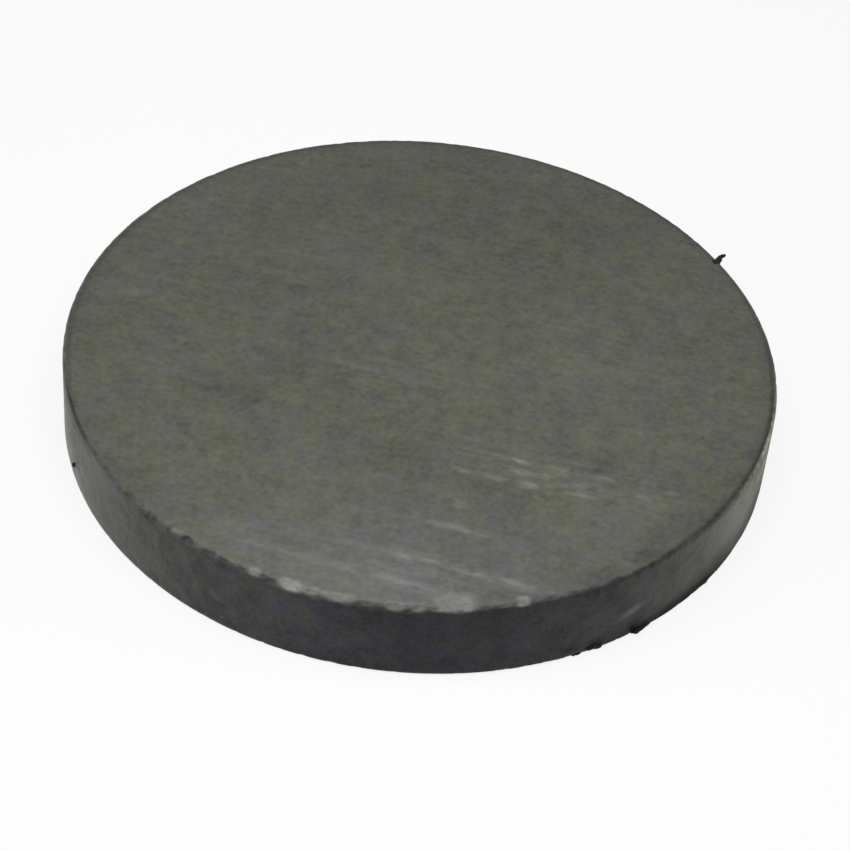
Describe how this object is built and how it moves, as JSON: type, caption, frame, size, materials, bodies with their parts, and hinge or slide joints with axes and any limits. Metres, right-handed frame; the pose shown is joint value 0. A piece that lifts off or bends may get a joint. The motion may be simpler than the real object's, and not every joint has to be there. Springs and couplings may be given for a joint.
{
  "type": "disc magnet",
  "caption": "Flat round ferrite magnet with two ground faces, an as-sintered rim, worn edges and a run of chips along its upper edge.",
  "frame": {"origin": "centre of the lower ground face", "axes": "+Z along the disc's axis, from the lower face to the chipped upper face, and the way it is magnetised. The long run of chips lies around -Y, so +X is to the right when the chips face the viewer"},
  "size_m": [0.0382, 0.0382, 0.0048],
  "materials": {
    "ferrite": "matte"
  },
  "bodies": {
    "root": {"magnet_disc": "ferrite"}
  },
  "joints": []
}
